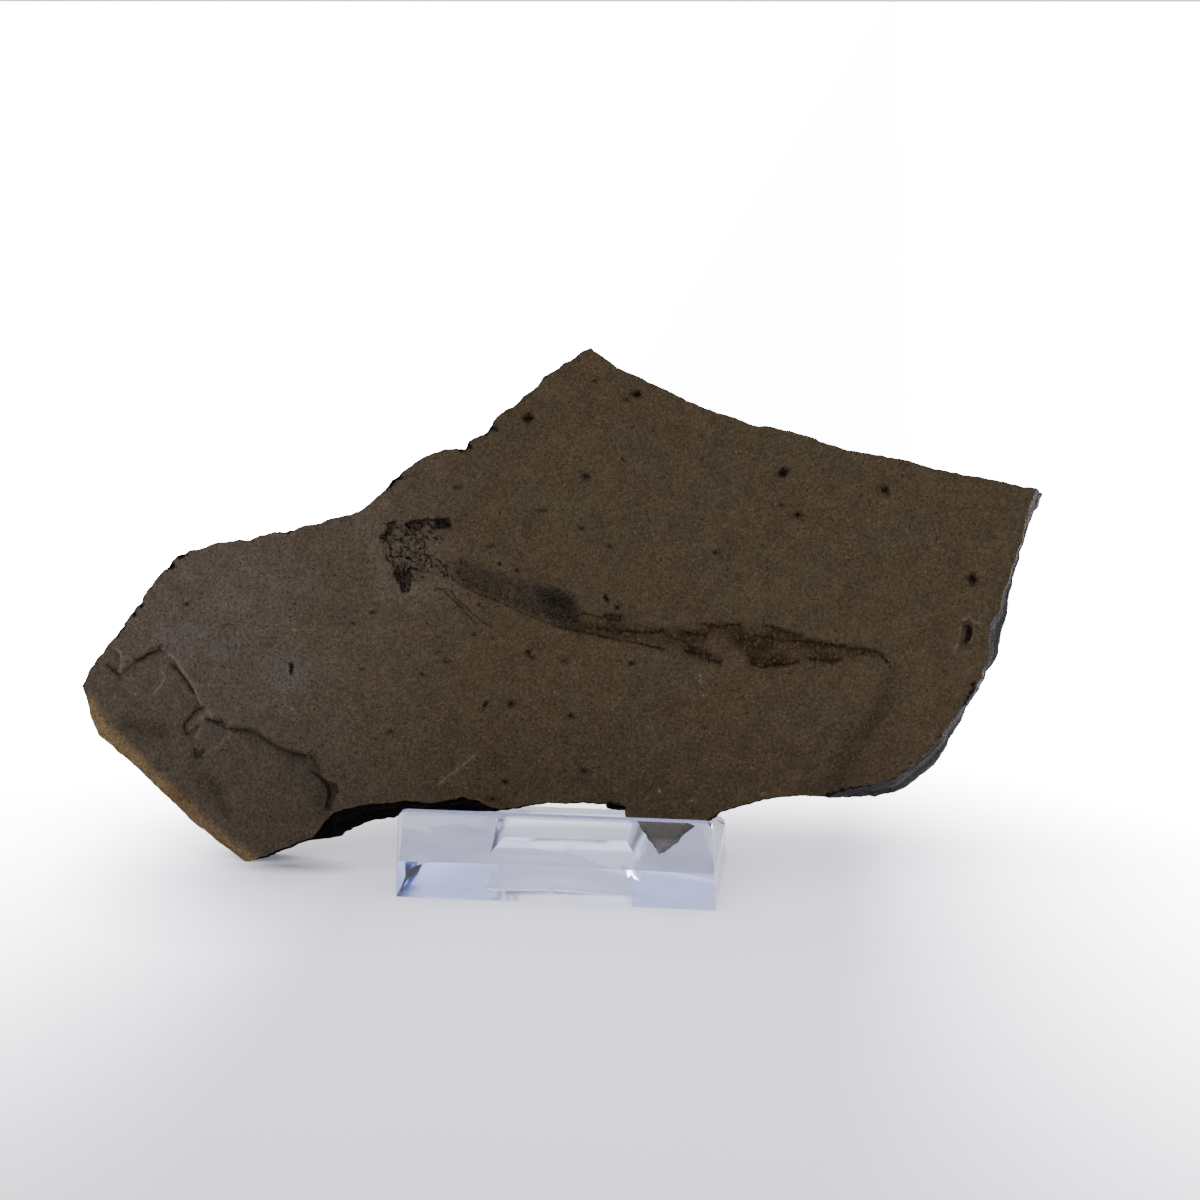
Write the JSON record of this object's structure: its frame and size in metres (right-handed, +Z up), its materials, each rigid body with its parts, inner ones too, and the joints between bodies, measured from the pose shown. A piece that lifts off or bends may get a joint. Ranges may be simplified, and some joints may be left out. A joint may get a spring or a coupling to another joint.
{
  "type": "fossil amphibian slab",
  "caption": "Thin dark shale slab with a small flattened fossil amphibian, leaning in a clear plastic display stand.",
  "frame": {"origin": "on the stand's underside, halfway along its width and 5 mm behind its front face", "axes": "+X along the stand to the right as the fossil is seen, +Y towards the back, +Z up"},
  "size_m": [0.1252, 0.0326, 0.066],
  "materials": {
    "shale": "matt bedding plane with dark bone, a brown skin film and a tan weathered rim",
    "clear_plastic": "clear glossy moulded plastic with a faint lilac tint"
  },
  "bodies": {
    "root": {"fossil_slab": "shale", "display_stand": "clear_plastic"}
  },
  "joints": []
}
